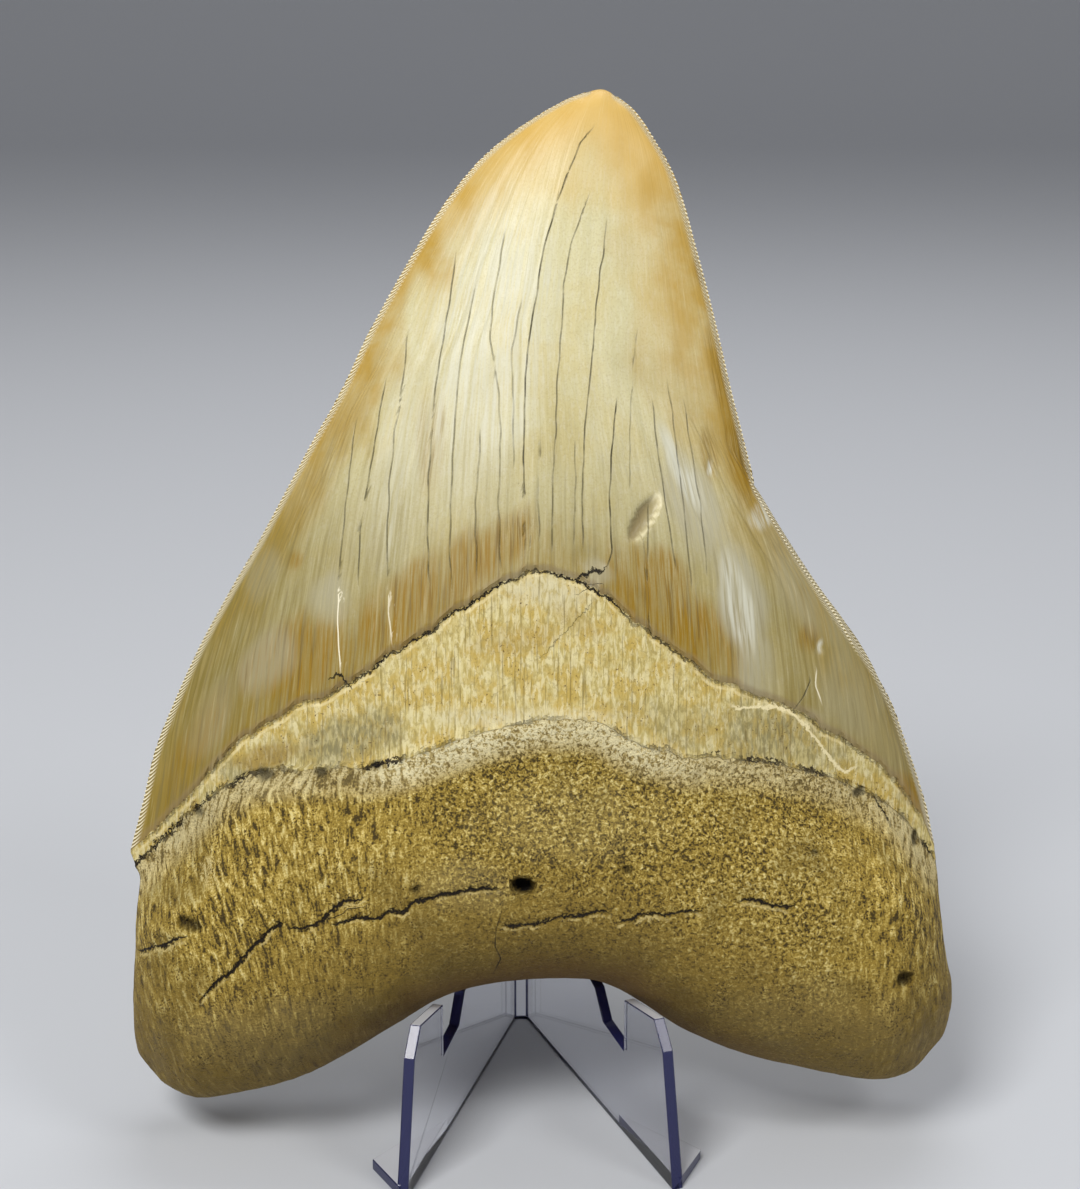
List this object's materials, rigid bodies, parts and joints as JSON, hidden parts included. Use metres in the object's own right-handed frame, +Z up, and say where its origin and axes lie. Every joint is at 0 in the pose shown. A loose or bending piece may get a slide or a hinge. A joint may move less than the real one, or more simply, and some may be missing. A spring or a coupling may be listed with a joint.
{
  "type": "megalodon tooth on display stand",
  "caption": "Large serrated fossil shark tooth with a chevron bourlette and a two-lobed root, resting in a small clear plastic display stand.",
  "frame": {"origin": "On the surface that the stand rests on, under the middle of the whole object's box", "axes": "+Z up, -Y towards the viewer of the tooth's convex inner side, +X to that viewer's right"},
  "size_m": [0.1137, 0.0588, 0.1385],
  "materials": {
    "fossil_tooth": "glossy cream and ochre enamel over a rough olive-brown root",
    "clear_plastic": "clear, polished, with blue-violet cut edges"
  },
  "bodies": {
    "root": {"tooth": "fossil_tooth", "stand": "clear_plastic"}
  },
  "joints": []
}
